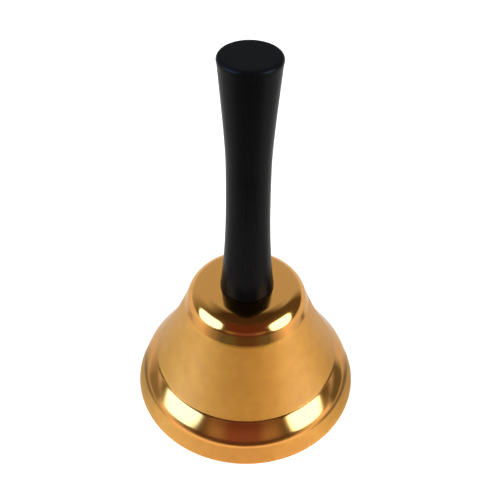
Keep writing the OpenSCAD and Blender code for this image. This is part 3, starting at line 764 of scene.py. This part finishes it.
# The patches of painted shadow close beside the bell.
SHADOW_PATCH_FROM_R, SHADOW_PATCH_FULL_R, SHADOW_PATCH_FADE_R, SHADOW_PATCH_END_R = 0.0405, 0.042, 0.055, 0.07
GREY_GREEN, DARK_BROWN = (0.16, 0.17, 0.14, 1), (0.13, 0.085, 0.06, 1)
GREY_WARM, GREY_BEHIND = (0.17, 0.17, 0.14, 1), (0.1637, 0.17, 0.14, 1)
bpy.ops.mesh.primitive_plane_add(size=APRON_WIDE, location=(0, 0, APRON_Z))
apron = bpy.context.object
apron.name = "studio_apron"
apron_and_painted_shadow, tree, shader = new_finish("studio_apron_and_painted_shadow", {})
place = add(tree, "TexCoord").outputs["Object"]
out = add(tree, "VectorMath", {0: place}, operation="LENGTH").outputs["Value"]
covers = []
for stops, starts, full, fades, ends in (
        (((-78, 0), (-56, 0.7), (-38, 1), (36, 1), (50, 0.55), (64, 0)),
         APRON_FROM_R, APRON_FULL_R, APRON_FADE_R, APRON_END_R),
        # Painted shadow: the bell's own shadow, close beside it on the left and the right.
        (((-112, 0), (-96, 0.75), (-75, 0.75), (-50, 0), (40, 0), (58, 0.85), (92, 0.85), (108, 0)),
         SHADOW_PATCH_FROM_R, SHADOW_PATCH_FULL_R, SHADOW_PATCH_FADE_R, SHADOW_PATCH_END_R)):
    sector = by_bearing(tree, place, grey(0), [(degrees, grey(share)) for degrees, share in stops])
    begun = add(tree, "MapRange", {"Value": out, "From Min": starts, "From Max": full}).outputs[0]
    not_over = add(tree, "MapRange", {"Value": out, "From Min": ends, "From Max": fades}).outputs[0]
    ring = add(tree, "Math", {0: begun, 1: not_over}, operation="MULTIPLY").outputs[0]
    covers.append(add(tree, "Math", {0: sector, 1: ring}, operation="MULTIPLY").outputs[0])
cover = add(tree, "Math", {0: covers[0], 1: covers[1]}, operation="MAXIMUM").outputs[0]
hues = by_bearing(tree, place, GREY_BEHIND, (
    (-90, GREY_GREEN), (-24, GREY_GREEN), (-8, DARK_BROWN), (12, DARK_BROWN), (26, GREY_WARM)))
glow_alone(tree, hues, cover)
apron.data.materials.append(apron_and_painted_shadow)

# Two low strips of dark card stand beside the bell, seen only by the metal. They are painted shadow, the
# bell's own shadow on the table, and darken the far ends of its band.
CARD_R, CARD_H, CARD_TOP_FROM, CARD_TOP_BY = 0.075, 0.014, 0.002, 0.006
# The shade of the painted shadow on the strips.
SHADOW_CARD_SHADE = (0.13, 0.12, 0.09, 1)
bpy.ops.mesh.primitive_cylinder_add(vertices=128, radius=CARD_R, depth=CARD_H, end_fill_type="NOTHING",
                                    location=(0, 0, CARD_H / 2))
shadow_card = bpy.context.object
shadow_card.name = "studio_shadow_card"
shadow_card_finish, tree, shader = new_finish("studio_painted_shadow_card", {})
place = add(tree, "TexCoord").outputs["Object"]
# Painted shadow: dark only at the bearings where the bell's shadow would lie.
sector = by_bearing(tree, place, grey(0), [(degrees, grey(share)) for degrees, share in (
    (-114, 0), (-101, 0.5), (-92, 0.8), (-76, 0.8), (-69, 0), (70, 0), (77, 0.95), (100, 0.95), (110, 0))])
below_top = add(tree, "MapRange", {"Value": add(tree, "SeparateXYZ", {0: place}).outputs["Z"],
                                   "From Min": CARD_TOP_BY, "From Max": CARD_TOP_FROM}).outputs[0]
cover = add(tree, "Math", {0: sector, 1: below_top}, operation="MULTIPLY").outputs[0]
glow_alone(tree, SHADOW_CARD_SHADE, cover)
shadow_card.data.materials.append(shadow_card_finish)
for sheet in (cloth, apron, shadow_card):
    sheet.visible_camera = sheet.visible_diffuse = sheet.visible_shadow = sheet.visible_transmission = False

# World: white all round where the camera or the metal looks, and a weak fill otherwise.
FILL = 0.35
world = bpy.data.worlds.new("studio_world")
bpy.context.scene.world = world
world.use_nodes = True
tree = world.node_tree
rays = add(tree, "LightPath").outputs
seen = add(tree, "Math", {0: rays["Is Camera Ray"], 1: rays["Is Glossy Ray"]}, operation="MAXIMUM").outputs[0]
seen = add(tree, "Math", {0: seen, 1: rays["Is Transmission Ray"]}, operation="MAXIMUM").outputs[0]
tree.links.new(add(tree, "MapRange", {"Value": seen, "To Min": FILL, "To Max": 1.0}).outputs[0],
               tree.nodes["Background"].inputs["Strength"])
tree.nodes["Background"].inputs["Color"].default_value = grey(1)

# Two broad soft windows, left and right in front, with rounded corners and soft edges. Each is a lamp that
# only lights, and just in front of it a glint that only the metal mirrors. The glints are cold, so that the
# warm brass gives them back nearly white.
LAMP_DISTANCE, LAMP_TALL, LAMP_UP, LAMP_AIM_Z = 1.9, 1.42, math.radians(21.5), 40
LAMP_LEVEL, GLINT_LEVEL, GLINT_NEARER = 4.5, 1.0, 0.02
CORNER_POWER, WINDOW_DARK_BY, WINDOW_BRIGHT_FROM = 3.0, 1.15, 0.6
for name, azimuth, wide, lean, shine in (
        ("window_left", -69.6, 1.70, 19, (2.75, 4.6, 8.7)),
        ("window_right", 65.0, 1.47, -11, (4.1, 5.6, 8.5))):
    for kind, level, shade, nearer in (
            ("lamp", LAMP_LEVEL, (1, 1, 1), 0), ("glint", GLINT_LEVEL, shine, GLINT_NEARER)):
        bpy.ops.object.light_add(type="AREA", location=(0, 0, 0))
        lamp = bpy.context.object
        lamp.name = name + "_" + kind
        lamp.data.shape = "RECTANGLE"
        lamp.data.size, lamp.data.size_y = wide, LAMP_TALL
        lamp.data.energy = level * math.pi * wide * LAMP_TALL
        lamp.data.color = shade
        a = math.radians(azimuth)
        out = Vector((math.sin(a) * math.cos(LAMP_UP), -math.cos(a) * math.cos(LAMP_UP), math.sin(LAMP_UP)))
        place = Matrix.Translation(out * (LAMP_DISTANCE - nearer) + Vector((0, 0, LAMP_AIM_Z * MM)))
        lamp.matrix_world = (place @ out.to_track_quat("Z", "Y").to_matrix().to_4x4()
                             @ Matrix.Rotation(math.radians(lean), 4, "Z"))
        lamp.visible_camera = False
        lamp.visible_diffuse, lamp.visible_glossy = kind == "lamp", kind == "glint"
        lamp.data.use_nodes = True
        tree = lamp.data.node_tree
        across = add(tree, "SeparateXYZ", {0: add(tree, "NewGeometry").outputs["Parametric"]}).outputs
        bulge = []
        for direction in ("X", "Y"):
            off = add(tree, "Math", {0: across[direction], 1: 2.0, 2: -1.0},
                      operation="MULTIPLY_ADD").outputs[0]
            off = add(tree, "Math", {0: off}, operation="ABSOLUTE").outputs[0]
            bulge.append(add(tree, "Math", {0: off, 1: CORNER_POWER}, operation="POWER").outputs[0])
        rim = add(tree, "Math", {0: bulge[0], 1: bulge[1]}, operation="ADD").outputs[0]
        bright = add(tree, "MapRange", {
            "Value": rim, "From Min": WINDOW_DARK_BY, "From Max": WINDOW_BRIGHT_FROM}).outputs[0]
        tree.links.new(bright, tree.nodes["Emission"].inputs["Strength"])

# Camera: close above the bell, as in the photograph, 43 degrees down.
CAMERA_AT, LOOK_DOWN, CAMERA_ROLL = Vector((0.804, -175.8, 228.4)), 43.17, 1.02
camera = bpy.data.objects.new("camera", bpy.data.cameras.new("camera"))
bpy.context.collection.objects.link(camera)
camera.data.sensor_width = 36
camera.data.lens = 53.65
camera.data.clip_start = 0.01
camera.matrix_world = (
    Matrix.Translation(CAMERA_AT * MM)
    @ Matrix.Rotation(math.radians(90 - LOOK_DOWN), 4, "X")
    @ Matrix.Rotation(math.radians(CAMERA_ROLL), 4, "Z"))
bpy.context.scene.camera = camera
bpy.context.scene.view_settings.view_transform = "Standard"
